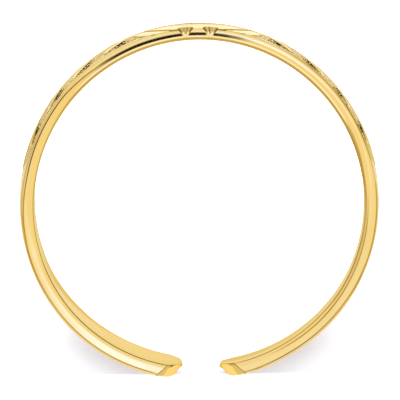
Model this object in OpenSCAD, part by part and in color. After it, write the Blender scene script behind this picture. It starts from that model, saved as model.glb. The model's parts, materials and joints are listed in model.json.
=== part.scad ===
// Open, adjustable toe ring in cast and polished yellow gold.
// It lies on its side on z = 0. The toe's axis is Z, the patterned crown is towards +Y and the gap
// between the two ends is towards -Y. All sizes are in millimetres.

/* [Band] */
// Diameter of the hole for the toe
bore_d = 15.1; // [13:0.1:19]
// Width of the band, along the toe
band_w = 2.6; // [2.2:0.1:5]
// Thickness of the wall at the two rims
rim_wall = 0.57; // [0.5:0.01:1.2]
// Extra thickness of the wall at the middle of its width, where the outside is domed
dome_h = 0.13; // [0.06:0.01:0.3]
// Radius of the comfort edges round the hole
inner_edge_r = 0.22; // [0.05:0.01:0.35]
// Radius of the edges round the outside
outer_edge_r = 0.1; // [0.05:0.01:0.2]

/* [Ends] */
// Gap between the two ends, across the inside
gap_w = 1.78; // [0.8:0.01:5]
// Radius of the arc that rounds each end, seen from outside, over half the band's width
end_arc_extra_r = 0.15; // [0.05:0.05:1]
// Width of the flat at the tip of each end
end_tip_w = 0.5; // [0.2:0.05:1.5]
// Radius of each end's outer edge, seen along the toe
end_edge_r = 0.35; // [0.1:0.01:0.45]

/* [Crown knot] */
// Half length of the round-ended block that carries the knot, round the band
knot_reach = 3.05; // [2.4:0.05:4]
// Half length of the pointed leaf, from its middle to a point
leaf_reach = 2.4; // [1.6:0.05:3.4]
// Half length of the leaf's flat side where it meets a rim
leaf_rim_reach = 0.73; // [0.4:0.01:1.2]
// Width of the groove that outlines the leaf
outline_w = 0.14; // [0.08:0.01:0.3]
// Depth of the groove that outlines the leaf
outline_depth = 0.09; // [0.04:0.01:0.2]
// Half length of the sunk eye in the leaf
eye_reach = 1.25; // [0.6:0.05:2]
// Half width of the sunk eye in the leaf
eye_half_w = 0.32; // [0.15:0.01:0.6]
// Depth of the sunk eye
eye_depth = 0.16; // [0.05:0.01:0.3]
// Distance of each notch from the middle of the crown, round the band
notch_at = 0.59; // [0.4:0.01:1]
// Radius of a notch at the outside of the band
notch_r = 0.5; // [0.25:0.01:0.55]
// Radius of a notch at its floor
notch_floor_r = 0.08; // [0.05:0.01:0.2]
// Metal left under a notch's floor
notch_floor = 0.26; // [0.1:0.01:0.4]

/* [Panels] */
// Width of the rail along each rim
rail_w = 0.3; // [0.15:0.01:0.6]
// Depth of the field between the rails
field_depth = 0.11; // [0.05:0.01:0.25]
// Distance from one pair of leaves to the next, round the band
leaf_pitch = 1.89; // [1.4:0.01:3]
// Pairs of leaves in a panel
leaf_pairs = 4; // [2:1:5]
// Distance from the knot block to the first pair's stem end
first_leaf_gap = 0.2; // [0:0.05:1]
// Clearance from the tip of a leaf to the rail
leaf_tip_gap = 0.14; // [0.05:0.01:0.3]
// Width of a leaf
leaf_w = 0.62; // [0.3:0.01:0.9]
// Lean of a leaf away from the stem, in degrees
leaf_lean = 33; // [20:1:50]
// Height of the leaves above the line of the dome
leaf_proud = 0.03; // [0.01:0.01:0.1]
// Width of the stem that runs along the middle of a panel
stem_w = 0.16; // [0.08:0.01:0.4]
// Depth of the stem's top below the crest
stem_drop = 0.03; // [0.01:0.01:0.06]
// Length of the field past the last pair's stem end
panel_tail = 2.2; // [1.4:0.05:4]
// Radius of the arc that ends the field, over half the field's width
panel_end_extra_r = 0.3; // [0.1:0.05:2]
// Depth of the cut behind each leaf, below the field
cut_depth = 0.12; // [0.04:0.01:0.25]
// Width of the cut behind each leaf
cut_w = 0.12; // [0.06:0.01:0.3]

/* [Hidden] */
$fn = 96;

bore_r = bore_d / 2;
mid_z = band_w / 2;
rim_r = bore_r + rim_wall;
crest_r = rim_r + dome_h;

// The outside is an arc across the width, through both rims and the crest
dome_r = (mid_z * mid_z + dome_h * dome_h) / (2 * dome_h);
dome_x = crest_r - dome_r;
edge_x = dome_x + sqrt(pow(dome_r - outer_edge_r, 2) - pow(mid_z - outer_edge_r, 2));
edge_turn = asin((mid_z - outer_edge_r) / (dome_r - outer_edge_r));

// Clearances for cutters, so that no cutter ends on a face that it cuts
over = 1;
little_over = 0.1;
reach = crest_r + over;
// Depth to which leaves and stems are rooted in the metal under the field
stem_root = 0.1;
relief_root_r = rim_r - field_depth - stem_root;

// Angles round the band, from lengths along its crest
function turn(length) = length / crest_r * 180 / PI;
function arc_points(x, y, r, from, to, steps) =
    [for (i = [0 : steps]) let (a = from + (to - from) * i / steps) [x + r * cos(a), y + r * sin(a)]];

first_leaf = knot_reach + first_leaf_gap;
panel_reach = first_leaf + (leaf_pairs - 1) * leaf_pitch + panel_tail;
field_half = mid_z - rail_w;
panel_end_r = field_half + panel_end_extra_r;
gap_half = gap_w / 2;

// Circle that rounds an end, seen from outside: it crosses the tip's flat and both rims
end_arc_r = mid_z + end_arc_extra_r;
end_arc_x = gap_half + sqrt(end_arc_r * end_arc_r - end_tip_w * end_tip_w / 4);
// Angle by which the arc runs on past the flat and past a rim
end_arc_over = 6;

// The two leaves of a pair start a little either side of the stem's middle
leaf_aside = stem_w / 4;
leaf_len = (field_half - leaf_tip_gap - leaf_aside) / sin(leaf_lean);
// Start, length and distance from the leaf's middle line of the cut beside a leaf, as shares of
// the leaf's length, length and width
cut_start_share = 0.3;
cut_len_share = 0.55;
cut_aside_share = 0.36;

// Steps of the arcs of the small edges, the ends and the dome
edge_steps = 5;
end_steps = 10;
dome_steps = 12;
// Share of its half angle that the dome's arc spans, so that it stops short of the edges' arcs
dome_share = 0.86;

// Section of the plain band as (distance from the axis, height)
module section() {
    polygon(concat(
        arc_points(bore_r + inner_edge_r, inner_edge_r, inner_edge_r, 180, 270, edge_steps),
        arc_points(edge_x, outer_edge_r, outer_edge_r, -90, -edge_turn, edge_steps),
        arc_points(dome_x, mid_z, dome_r, -edge_turn * dome_share, edge_turn * dome_share, dome_steps),
        arc_points(edge_x, band_w - outer_edge_r, outer_edge_r, edge_turn, 90, edge_steps),
        arc_points(bore_r + inner_edge_r, band_w - inner_edge_r, inner_edge_r, 90, 180, edge_steps)));
}

// Everything between two rims and from a depth under the domed outside to beyond it
module below_dome(depth, margin) {
    half = mid_z - margin;
    lean = asin(half / (dome_r - depth));
    polygon(concat(
        arc_points(dome_x, mid_z, dome_r - depth, -lean, lean, dome_steps),
        [[reach, mid_z + half], [reach, mid_z - half]]));
}

// Puts a shape drawn flat, with x round the band and y across it, on the outside of the band.
// The shape stands from r_from to beyond the crest.
module on_band(at, r_from) {
    rotate([0, 0, 90 - turn(at)])
        translate([r_from, 0, mid_z])
            rotate([90, 0, 90])
                linear_extrude(reach - r_from)
                    mirror([1, 0]) children();
}

// Pointed leaf, a lens of two arcs, lying along x from its base at the origin
module lens(length, width) {
    r = (length * length + width * width) / (4 * width);
    intersection() {
        translate([length / 2, r - width / 2]) circle(r);
        translate([length / 2, width / 2 - r]) circle(r);
    }
}

// Lens centred on the origin that passes through a given point of its side
module knot_leaf(half, side_x, side_y) {
    q = (half * half - side_x * side_x - side_y * side_y) / (2 * side_y);
    r = sqrt(half * half + q * q);
    intersection() {
        translate([0, -q]) circle(r);
        translate([0, q]) circle(r);
    }
}

// Block with round ends that stands between the two panels
module knot_block() {
    translate([-(knot_reach - mid_z), -over - mid_z])
        square([2 * (knot_reach - mid_z), 2 * (over + mid_z)]);
    for (side = [-1, 1])
        translate([side * (knot_reach - mid_z), 0]) circle(mid_z);
}

// One pair of leaves that spring from the stem and lean away from the crown
module leaf_pair() {
    for (side = [-1, 1])
        translate([0, -side * leaf_aside]) rotate(side * leaf_lean) lens(leaf_len, leaf_w);
}

// Ring-shaped slice on one side of the crown, from one length round the band to another,
// turned from a section drawn as its child. The side is 1 for right and -1 for left.
module slice(side, from, to) {
    rotate([0, 0, side > 0 ? 90 - turn(to) : 90 + turn(from)])
        rotate_extrude(angle = turn(to) - turn(from)) children();
}

// Stem that runs along the middle of a panel, from the knot block to the field's round end
module stem(side) {
    slice(side, knot_reach - stem_root, panel_reach + stem_root)
        translate([relief_root_r, mid_z - stem_w / 2])
            square([crest_r - stem_drop - relief_root_r, stem_w]);
}

// Leaves of one panel, rooted under the field and domed like the band
module leaves(side) {
    intersection() {
        slice(side, knot_reach, panel_reach)
            intersection() {
                translate([relief_root_r, 0]) square([reach - relief_root_r, band_w]);
                translate([dome_x, mid_z]) circle(dome_r + leaf_proud);
            }
        for (i = [0 : leaf_pairs - 1])
            on_band(side * (first_leaf + i * leaf_pitch), bore_r)
                scale([side, 1]) leaf_pair();
    }
}

// What is left of the band past the arc that ends a panel's field
module panel_end() {
    difference() {
        translate([0, -mid_z]) square([panel_end_r + over, band_w]);
        circle(panel_end_r);
    }
}

// Sunk field of one panel
module panel_field(side) {
    difference() {
        slice(side, knot_reach - mid_z, panel_reach + over / 2) below_dome(field_depth, rail_w);
        on_band(0, bore_r) knot_block();
        on_band(side * (panel_reach - panel_end_r), bore_r) scale([side, 1]) panel_end();
    }
}

// Thin cut on the crown's side of each leaf, deeper than the field
module leaf_cuts(side) {
    for (i = [0 : leaf_pairs - 1], across = [-1, 1])
        on_band(side * (first_leaf + i * leaf_pitch), rim_r + dome_h / 2 - field_depth - cut_depth)
            scale([side, across])
                rotate(leaf_lean)
                    translate([leaf_len * cut_start_share, leaf_w * cut_aside_share])
                        lens(leaf_len * cut_len_share, cut_w);
}

// Groove that outlines the leaf of the knot
module knot_outline() {
    intersection() {
        slice(1, -knot_reach, knot_reach) below_dome(outline_depth, -over);
        on_band(0, bore_r)
            difference() {
                knot_leaf(leaf_reach + outline_w, leaf_rim_reach + outline_w, mid_z);
                knot_leaf(leaf_reach, leaf_rim_reach, mid_z);
            }
    }
}

// Sunk eye in the middle of the knot
module knot_eye() {
    intersection() {
        slice(1, -knot_reach, knot_reach) below_dome(eye_depth, -over);
        on_band(0, bore_r) translate([-eye_reach, 0]) lens(2 * eye_reach, 2 * eye_half_w);
    }
}

// Notches in both rims, either side of the small lobe at the middle of the crown. Each is a cone
// that widens towards the outside.
module notches() {
    depth = rim_wall + dome_h - notch_floor;
    widening = (notch_r - notch_floor_r) / depth;
    for (side = [-1, 1], z = [0, band_w])
        rotate([0, 0, 90 - side * turn(notch_at)])
            translate([bore_r + notch_floor, 0, z])
                rotate([0, 90, 0])
                    cylinder(
                        h = depth + little_over,
                        r1 = notch_floor_r,
                        r2 = notch_r + widening * little_over);
}

// Cutter for the gap, seen along the toe: it widens where each end's outer edge is rounded
module gap_along_toe() {
    translate([0, 0, -over])
        linear_extrude(band_w + 2 * over)
            for (side = [-1, 1])
                scale([side, 1])
                    polygon(concat(
                        [[-gap_half / 2, -reach], [-gap_half / 2, -bore_r / 2], [gap_half, -bore_r / 2]],
                        arc_points(gap_half + end_edge_r, end_edge_r - crest_r, end_edge_r, 180, 270, edge_steps),
                        [[gap_half + end_edge_r, -reach]]));
}

// Cutter for one corner of an end, as seen from outside with the tip's flat at its left
module end_corner() {
    from = asin(end_tip_w / 2 / end_arc_r) - end_arc_over;
    to = asin(mid_z / end_arc_r) + end_arc_over;
    polygon(concat(
        [[gap_half / 2, end_arc_r * sin(from)]],
        arc_points(end_arc_x, 0, end_arc_r, 180 - from, 180 - to, end_steps),
        [[end_arc_x - end_arc_r * cos(to), mid_z + over], [gap_half / 2, mid_z + over]]));
}

// Gap between the ends, with each end rounded and its outer edge too
module gap() {
    gap_along_toe();
    translate([0, 0, mid_z])
        rotate([90, 0, 0])
            linear_extrude(reach)
                for (side = [-1, 1], up = [-1, 1])
                    scale([side, up]) end_corner();
}

// The whole ring, one cast piece
module band() {
    color("#F1C45F")
        difference() {
            union() {
                difference() {
                    rotate_extrude() section();
                    for (side = [-1, 1]) panel_field(side);
                }
                for (side = [-1, 1]) {
                    stem(side);
                    leaves(side);
                }
            }
            for (side = [-1, 1]) leaf_cuts(side);
            knot_outline();
            knot_eye();
            notches();
            gap();
        }
}

band();
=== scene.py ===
"""Looks of an open toe ring in polished yellow gold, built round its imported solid.

The ring lies on its side on the floor. Its plain shank, rails, sunk panels and crown knot are one
swept mesh, and the leaves, stems and punched ground of the panels are laid round it by geometry
nodes. Sizes are in millimetres until a mesh is made, and meshes are in metres.
"""

from __future__ import annotations

import itertools
import json
import logging
import math
from dataclasses import dataclass, replace
from enum import Enum
from typing import Any

import bpy
import numpy as np
from mathutils import Matrix, Vector

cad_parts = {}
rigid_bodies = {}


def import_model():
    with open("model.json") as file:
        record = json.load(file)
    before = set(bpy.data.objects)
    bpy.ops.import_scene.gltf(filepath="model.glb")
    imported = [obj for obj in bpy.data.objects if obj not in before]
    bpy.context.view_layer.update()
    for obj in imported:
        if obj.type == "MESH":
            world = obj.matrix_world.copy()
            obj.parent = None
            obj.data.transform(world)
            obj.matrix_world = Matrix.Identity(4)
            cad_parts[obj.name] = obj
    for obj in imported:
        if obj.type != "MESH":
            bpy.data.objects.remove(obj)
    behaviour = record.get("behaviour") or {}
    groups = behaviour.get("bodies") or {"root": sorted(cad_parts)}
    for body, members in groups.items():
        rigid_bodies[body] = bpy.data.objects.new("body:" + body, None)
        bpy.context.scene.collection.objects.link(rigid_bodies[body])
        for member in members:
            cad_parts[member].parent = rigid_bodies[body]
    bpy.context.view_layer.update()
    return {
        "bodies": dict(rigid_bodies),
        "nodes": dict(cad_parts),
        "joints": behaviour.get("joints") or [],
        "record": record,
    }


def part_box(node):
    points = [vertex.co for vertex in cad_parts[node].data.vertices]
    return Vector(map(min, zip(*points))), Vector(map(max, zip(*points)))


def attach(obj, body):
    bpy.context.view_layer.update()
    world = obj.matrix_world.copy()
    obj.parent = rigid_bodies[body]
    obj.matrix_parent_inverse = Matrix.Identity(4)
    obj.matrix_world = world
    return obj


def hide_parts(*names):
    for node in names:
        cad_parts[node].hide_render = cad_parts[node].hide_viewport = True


LOG = logging.getLogger("toe_ring")
MM = 0.001
BODY = "root"
NODE = "band"
UV_MAP = "along_band"
# Name of the attribute that holds painted shade and painted dark lines
SHADING_ATTRIBUTE = "painted_shading"

Array = np.ndarray
Color = tuple[float, float, float, float]
Material = bpy.types.Material
Mesh = bpy.types.Mesh
Node = bpy.types.Node
Tree = bpy.types.NodeTree


class Side(Enum):
    """Half of the ring, seen with the crown up and the toe's axis towards the eye."""

    RIGHT = 1
    LEFT = -1


class Rim(Enum):
    """One of the two edges of the band."""

    UPPER = 1
    LOWER = -1


def hex_to_linear(code: str, strength: float = 1.0) -> Color:
    """Turns an sRGB hex colour into linear light.

    Args:
        code: Six hex digits, such as "F0C864".
        strength: Factor on the light.

    Returns:
        Linear red, green and blue at that strength, and an alpha of 1.
    """
    parts = [int(code[i : i + 2], 16) / 255 for i in (0, 2, 4)]
    linear = [p / 12.92 if p <= 0.04045 else ((p + 0.055) / 1.055) ** 2.4 for p in parts]
    return (linear[0] * strength, linear[1] * strength, linear[2] * strength, 1.0)


def empty_tree(owner: Material | bpy.types.World) -> Tree:
    """Gives a material or world a node tree with nothing in it."""
    owner.use_nodes = True
    owner.node_tree.nodes.clear()
    return owner.node_tree


def add_object(name: str, data: bpy.types.ID) -> bpy.types.Object:
    """Makes an object of its data and links it to the scene."""
    obj = bpy.data.objects.new(name, data)
    bpy.context.scene.collection.objects.link(obj)
    return obj


def add_node(
    tree: Tree, kind: str, inputs: dict[str | int, Any] | None = None, **settings: Any
) -> Node:
    """Adds a node with its settings and links.

    Args:
        tree: Tree that gets the node.
        kind: Blender's name of the node's type.
        inputs: Value of each input, by its name or place. An output is linked, and a node stands
            for the first of its outputs that is in use.
        settings: Values of the node's own properties.

    Returns:
        The new node.
    """
    node = tree.nodes.new(kind)
    for name, value in settings.items():
        setattr(node, name, value)
    for name, value in (inputs or {}).items():
        if isinstance(value, Node):
            value = next(output for output in value.outputs if output.enabled)
        if isinstance(value, bpy.types.NodeSocket):
            tree.links.new(value, node.inputs[name])
        else:
            node.inputs[name].default_value = value
    return node


def smooth_step(x: Array, low: float, high: float) -> Array:
    """Smooth rise from 0 at low to 1 at high."""
    t = np.clip((x - low) / (high - low), 0.0, 1.0)
    return t * t * (3 - 2 * t)


def arc(x: float, y: float, r: float, start: float, stop: float, count: int) -> Array:
    """Points of an arc.

    Args:
        x: Centre.
        y: Centre.
        r: Radius.
        start: First angle, in degrees.
        stop: Last angle, in degrees.
        count: Number of points, both ends included.

    Returns:
        Points as an array of count by 2.
    """
    a = np.radians(np.linspace(start, stop, count))
    return np.stack([x + r * np.cos(a), y + r * np.sin(a)], axis=1)


def closed_tube(name: str, points: Array, painted_shading: Array) -> Mesh:
    """Makes a closed mesh of rings of points.

    Args:
        name: Name of the mesh.
        points: Places by ring, point and axis, each ring clockwise as the next one sees it.
        painted_shading: Darkness of each point.

    Returns:
        The mesh, capped at both ends, its faces outwards, with the patina as an attribute.
    """
    index = np.arange(painted_shading.size).reshape(painted_shading.shape)
    here, on = index[:-1], index[1:]
    quads = np.stack([here, on, np.roll(on, -1, axis=1), np.roll(here, -1, axis=1)], axis=-1)
    caps = [index[0].tolist(), index[-1][::-1].tolist()]
    mesh = bpy.data.meshes.new(name)
    mesh.from_pydata(points.reshape(-1, 3).tolist(), [], quads.reshape(-1, 4).tolist() + caps)
    mesh.update()
    layer = mesh.attributes.new(SHADING_ATTRIBUTE, "FLOAT", "POINT")
    layer.data.foreach_set("value", painted_shading.astype(np.float32).ravel())
    return mesh


@dataclass(frozen=True)
class RingSizes:
    """Sizes of the ring, in millimetres, of which the first three are read from the frame."""

    bore_r: float
    crest_r: float
    width: float
    gap_half: float = 0.89
    dome_h: float = 0.13
    outer_edge_r: float = 0.1
    end_arc_extra_r: float = 0.15
    tip_slant: float = 0.24
    crease_slant: float = 0.22
    end_edge_r: float = 0.34
    end_inner_r: float = 0.24
    knot_reach: float = 3.05
    leaf_reach: float = 2.4
    leaf_rim_reach: float = 0.73
    outline_w: float = 0.2
    outline_depth: float = 0.1
    eye_reach: float = 1.25
    eye_half_w: float = 0.34
    eye_depth: float = 0.16
    eye_line_reach: float = 1.6
    eye_line_half_w: float = 0.62
    eye_line_w: float = 0.05
    notch_at: float = 0.59
    notch_r: float = 0.5
    notch_floor_r: float = 0.08
    notch_floor: float = 0.26
    rail_w: float = 0.27
    rail_fall: float = 0.045
    rail_rise: float = 0.02
    rail_line_w: float = 0.05
    field_depth: float = 0.085
    leaf_pitch: float = 1.89
    leaf_pairs: int = 4
    first_leaf_gap: float = 0.2
    leaf_tip_gap: float = 0.14
    leaf_w: float = 0.5
    leaf_shift: float = 0.1
    leaf_lean: float = 33.0
    leaf_proud: float = 0.01
    stem_w: float = 0.16
    stem_drop: float = -0.025
    panel_tail: float = 2.2
    panel_end_extra_r: float = 0.3
    cut_depth: float = 0.12
    cut_w: float = 0.36
    cut_aside: float = 0.26
    cut_back: float = 0.24
    cut_from: float = 0.24
    cut_to: float = 0.98

    @classmethod
    def from_frame(cls, record: dict[str, Any]) -> RingSizes:
        """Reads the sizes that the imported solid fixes.

        Args:
            record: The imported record.

        Returns:
            The ring's sizes.
        """
        low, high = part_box(NODE)
        hole = next(m for m in record["mounts"] if m["name"] == "toe_hole")
        return cls(
            bore_r=hole["dims"]["r_mm"],
            crest_r=round((high.x - low.x) / 2 / MM, 2),
            width=round((high.z - low.z) / MM, 2),
        )

    @property
    def mid(self) -> float:
        """Half of the band's width, and the height of its middle."""
        return self.width / 2

    @property
    def rim_r(self) -> float:
        """Outer radius of the band at its rims."""
        return self.crest_r - self.dome_h

    @property
    def dome_r(self) -> float:
        """Radius of the arc of the domed outside."""
        return (self.mid**2 + self.dome_h**2) / (2 * self.dome_h)

    @property
    def dome_x(self) -> float:
        """Distance of that arc's centre from the toe's axis."""
        return self.crest_r - self.dome_r

    @property
    def end_arc_r(self) -> float:
        """Radius of the arc that rounds each end, seen from outside."""
        return self.mid + self.end_arc_extra_r

    @property
    def tongue(self) -> float:
        """Length of a rounded end, from its tip to where its arc meets the rims."""
        return self.end_arc_r - math.sqrt(self.end_arc_r**2 - self.mid**2)

    @property
    def field_half(self) -> float:
        """Half width of a panel's sunk field."""
        return self.mid - self.rail_w

    @property
    def panel_end_r(self) -> float:
        """Radius of the arc that ends a field."""
        return self.field_half + self.panel_end_extra_r

    @property
    def first_leaf(self) -> float:
        """Length round the band from the crown to the first pair of leaves."""
        return self.knot_reach + self.first_leaf_gap

    @property
    def panel_reach(self) -> float:
        """Length round the band from the crown to a field's far end."""
        return self.first_leaf + (self.leaf_pairs - 1) * self.leaf_pitch + self.panel_tail

    @property
    def leaf_len(self) -> float:
        """Length of a leaf, from its clearance to the rail."""
        rise = self.field_half - self.leaf_tip_gap - self.stem_w / 4
        return rise / math.sin(math.radians(self.leaf_lean))

    @property
    def half_round(self) -> float:
        """Length round the crest from the crown to an end."""
        return self.crest_r * (math.pi - math.asin(self.gap_half / self.bore_r))

    def along_leaf(self, x: Array, y: Array) -> tuple[Array, Array]:
        """Turns places from a leaf's base into lengths along the leaf and across it."""
        lean = math.radians(self.leaf_lean)
        cosine, sine = math.cos(lean), math.sin(lean)
        return x * cosine + y * sine, y * cosine - x * sine

    def dome(self, v: Array) -> Array:
        """Radius of the domed outside at a height v over the band's middle."""
        return self.dome_x + np.sqrt(self.dome_r**2 - v**2)


def lens_distance(x: Array, y: Array, half: float, half_w: float) -> Array:
    """Signed distance to a lens of two arcs, centred on the origin along x, negative inside."""
    r = (half**2 + half_w**2) / (2 * half_w)
    return np.hypot(x, np.abs(y) + r - half_w) - r


@dataclass(frozen=True)
class Relief:
    """Height of the outside: panels, cuts and the crown knot, as a depth under the dome."""

    sizes: RingSizes

    WALL = 0.07
    RAIL_LINE_AT = 0.72
    # Painted shade of each recess, and how far inside its edge it starts and is full
    KNOT_SHADES = {
        "groove": (0.75, -0.03, 0.04),
        "eye_line": (0.65, -0.03, 0.02),
        "eye": (0.6, -0.02, 0.05),
    }
    PANEL_SHADES = {
        "field": (0.5, -0.01, 0.05),
        "rail_line": (0.6, -0.03, 0.02),
        "cut": (0.9, -0.04, 0.03),
        "block_edge": (0.75, -0.03, 0.01),
    }
    BLOCK_EDGE_W = 0.02

    def sink(self, distance: Array, depth: float, wall: float = WALL) -> Array:
        """Depth inside a region, with a soft wall.

        Args:
            distance: Signed distance to the region, negative inside.
            depth: Depth of the floor.
            wall: Width over which the wall falls.

        Returns:
            Depth at each point.
        """
        return depth * smooth_step(-distance, 0.0, wall)

    def block_distance(self, u: Array, v: Array) -> Array:
        """Signed distance to the round-ended block of the knot."""
        s = self.sizes
        return np.hypot(np.maximum(np.abs(u) - (s.knot_reach - s.mid), 0.0), v) - s.mid

    def field_distance(self, u: Array, v: Array) -> Array:
        """Signed distance to the sunk fields of both panels."""
        s = self.sizes
        past = np.abs(u) - (s.panel_reach - s.panel_end_r)
        end = np.where(past > 0, np.hypot(np.maximum(past, 0.0), v) - s.panel_end_r, -s.mid)
        return np.maximum.reduce([np.abs(v) - s.field_half, -self.block_distance(u, v), end])

    def cut_distance(self, u: Array, v: Array) -> Array:
        """Signed distance to the cuts on the crown's side of the leaves, which nick the rails."""
        s = self.sizes
        middle, half = (s.cut_to + s.cut_from) / 2, (s.cut_to - s.cut_from) / 2
        near = np.full_like(u, s.mid)
        for i in range(s.leaf_pairs):
            x = np.abs(u) - s.first_leaf - i * s.leaf_pitch + s.cut_back
            along, across = s.along_leaf(x, np.abs(v))
            along, across = along - s.leaf_len * middle, across - s.cut_aside
            near = np.minimum(near, lens_distance(along, across, s.leaf_len * half, s.cut_w / 2))
        return near

    def rail_line_distance(self, u: Array, v: Array) -> Array:
        """Signed distance to the fine line engraved along each rail."""
        s = self.sizes
        line = np.abs(np.abs(v) - s.mid + s.rail_w * self.RAIL_LINE_AT) - s.rail_line_w / 2
        span = np.abs(np.abs(u) - (s.knot_reach + s.panel_reach) / 2)
        return np.maximum(line, span - (s.panel_reach - s.knot_reach) / 2 + s.rail_w)

    def groove_distance(self, u: Array, v: Array) -> Array:
        """Signed distance to the groove round the knot's leaf."""
        s = self.sizes
        sunk = (s.leaf_reach**2 - s.leaf_rim_reach**2 - s.mid**2) / (2 * s.mid)
        leaf = np.hypot(u, np.abs(v) + sunk) - math.hypot(s.leaf_reach, sunk)
        return np.abs(leaf - s.outline_w / 2) - s.outline_w / 2

    def eye_distance(self, u: Array, v: Array) -> Array:
        """Signed distance to the knot's eye."""
        return lens_distance(u, v, self.sizes.eye_reach, self.sizes.eye_half_w)

    def eye_line_distance(self, u: Array, v: Array) -> Array:
        """Signed distance to the fine line engraved round the eye."""
        s = self.sizes
        return np.abs(lens_distance(u, v, s.eye_line_reach, s.eye_line_half_w)) - s.eye_line_w / 2

    def radius(self, u: Array, v: Array) -> Array:
        """Outside radius at points given by length round the crest and height over the middle."""
        s = self.sizes
        field = self.field_distance(u, v)
        # The upper rail is buffed down towards the field, and the lower one stands up to it
        fall = np.where(v > 0, s.rail_fall, -s.rail_rise) * smooth_step(-field, -s.rail_w, 0.0)
        sunk = np.where(field < 0, np.maximum(self.sink(field, s.field_depth), fall), fall)
        sunk += self.sink(self.cut_distance(u, v), s.cut_depth)
        sunk += self.sink(self.rail_line_distance(u, v), s.rail_line_w / 2, s.rail_line_w / 2)
        groove = self.sink(self.groove_distance(u, v), s.outline_depth, s.outline_w / 2)
        eye = self.sink(self.eye_distance(u, v), s.eye_depth)
        line = self.sink(self.eye_line_distance(u, v), s.eye_line_w / 2, s.eye_line_w / 2)
        knot = np.maximum.reduce([groove, eye, line])
        depth = np.where(self.block_distance(u, v) < 0, knot, sunk)
        return s.dome(v) - depth

    def painted_shading(self, u: Array, v: Array) -> Array:
        """Painted shade from 0 on buffed metal, by way of 0.5 on cast ground, to 1 in deep cuts."""
        block = self.block_distance(u, v)
        distances = {
            "groove": self.groove_distance(u, v),
            "eye_line": self.eye_line_distance(u, v),
            "eye": self.eye_distance(u, v),
            "field": self.field_distance(u, v),
            "rail_line": self.rail_line_distance(u, v),
            "cut": self.cut_distance(u, v),
            "block_edge": np.abs(block - self.BLOCK_EDGE_W) - self.BLOCK_EDGE_W,
        }
        knot, panel = (
            np.maximum.reduce(
                [
                    dark * smooth_step(-distances[name], low, high)
                    for name, (dark, low, high) in shades.items()
                ]
            )
            for shades in (self.KNOT_SHADES, self.PANEL_SHADES)
        )
        return np.where(block < 0, knot, panel)

    def notch_limit(self, u: Array, v: Array) -> Array:
        """Radius beyond which the cones of the rims' notches take the metal away."""
        s = self.sizes
        floor_r = s.bore_r + s.notch_floor
        aside = np.hypot(np.abs(u) - s.notch_at, s.mid - np.abs(v))
        slope = (s.crest_r - floor_r) / (s.notch_r - s.notch_floor_r)
        return floor_r + np.maximum(aside - s.notch_floor_r, 0.0) * slope


@dataclass(frozen=True)
class SpringRow:
    """How far the sprung metal leaves the true circle at one angle.

    Attributes:
        angle: Clockwise from the crown, in degrees.
        upper: Outward shift of the upper rim, in millimetres.
        lower: Outward shift of the lower rim, in millimetres.
    """

    angle: float
    upper: float
    lower: float


@dataclass(frozen=True)
class Spring:
    """Slight bends and twists that a sprung open ring keeps."""

    sizes: RingSizes
    rows: tuple[SpringRow, ...] = (
        SpringRow(-168, -0.01, -0.22),
        SpringRow(-150, 0.04, -0.19),
        SpringRow(-130, 0.08, -0.08),
        SpringRow(-115, 0.07, 0.01),
        SpringRow(-90, 0.03, 0.03),
        SpringRow(-60, -0.03, 0.05),
        SpringRow(-30, -0.03, 0.02),
        SpringRow(0, 0.0, 0.0),
        SpringRow(40, 0.0, 0.0),
        SpringRow(90, 0.0, 0.02),
        SpringRow(120, -0.02, 0.06),
        SpringRow(150, -0.09, 0.0),
        SpringRow(168, -0.08, -0.03),
    )

    TIP = 0.4
    STEPS = 721
    SMOOTHING = 31

    def apply(self, mesh: Mesh) -> None:
        """Moves a mesh's points from the true circle to the sprung one.

        Args:
            mesh: Mesh in metres, round the toe's axis.
        """
        s = self.sizes
        points = np.zeros(len(mesh.vertices) * 3)
        mesh.vertices.foreach_get("co", points)
        points = points.reshape(-1, 3) / MM
        angle = np.degrees(np.arctan2(points[:, 0], points[:, 1]))
        known = [row.angle for row in self.rows]
        steps = np.linspace(-180, 180, self.STEPS)
        kernel = np.hanning(self.SMOOTHING) / np.hanning(self.SMOOTHING).sum()
        shifts = []
        for values in ([row.upper for row in self.rows], [row.lower for row in self.rows]):
            line = np.pad(np.interp(steps, known, values), self.SMOOTHING // 2, mode="edge")
            shifts.append(np.interp(angle, steps, np.convolve(line, kernel, mode="valid")))
        upper, lower = shifts
        share = points[:, 2] / s.width
        radius = np.hypot(points[:, 0], points[:, 1])
        out = lower + (upper - lower) * share
        # A rim that moves outwards turns the section, and the upper face tips with it, as far as
        # the buff hasn't levelled it again
        rise = self.TIP * (lower - upper) / s.width * (radius - (s.bore_r + s.crest_r) / 2)
        grown = (radius + out) / radius
        points[:, 0] *= grown
        points[:, 1] *= grown
        points[:, 2] += rise * share
        mesh.vertices.foreach_set("co", (points * MM).ravel())
        mesh.update()


@dataclass(frozen=True)
class EdgeShape:
    """How the buff has left the edges, the side face and the outside of the band.

    Attributes:
        inner_r: Radius of the rounded inner edge.
        outer_r: Radius of the rounded outer edge.
        dome_h: How far the outside's middle stands out past its rims.
        shares: Places across the side face, from its inner edge at 0 to its outer one at 1.
        tips: Slopes there in degrees, rising outwards.
    """

    inner_r: float
    outer_r: float
    dome_h: float
    shares: tuple[float, ...]
    tips: tuple[float, ...]


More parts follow.
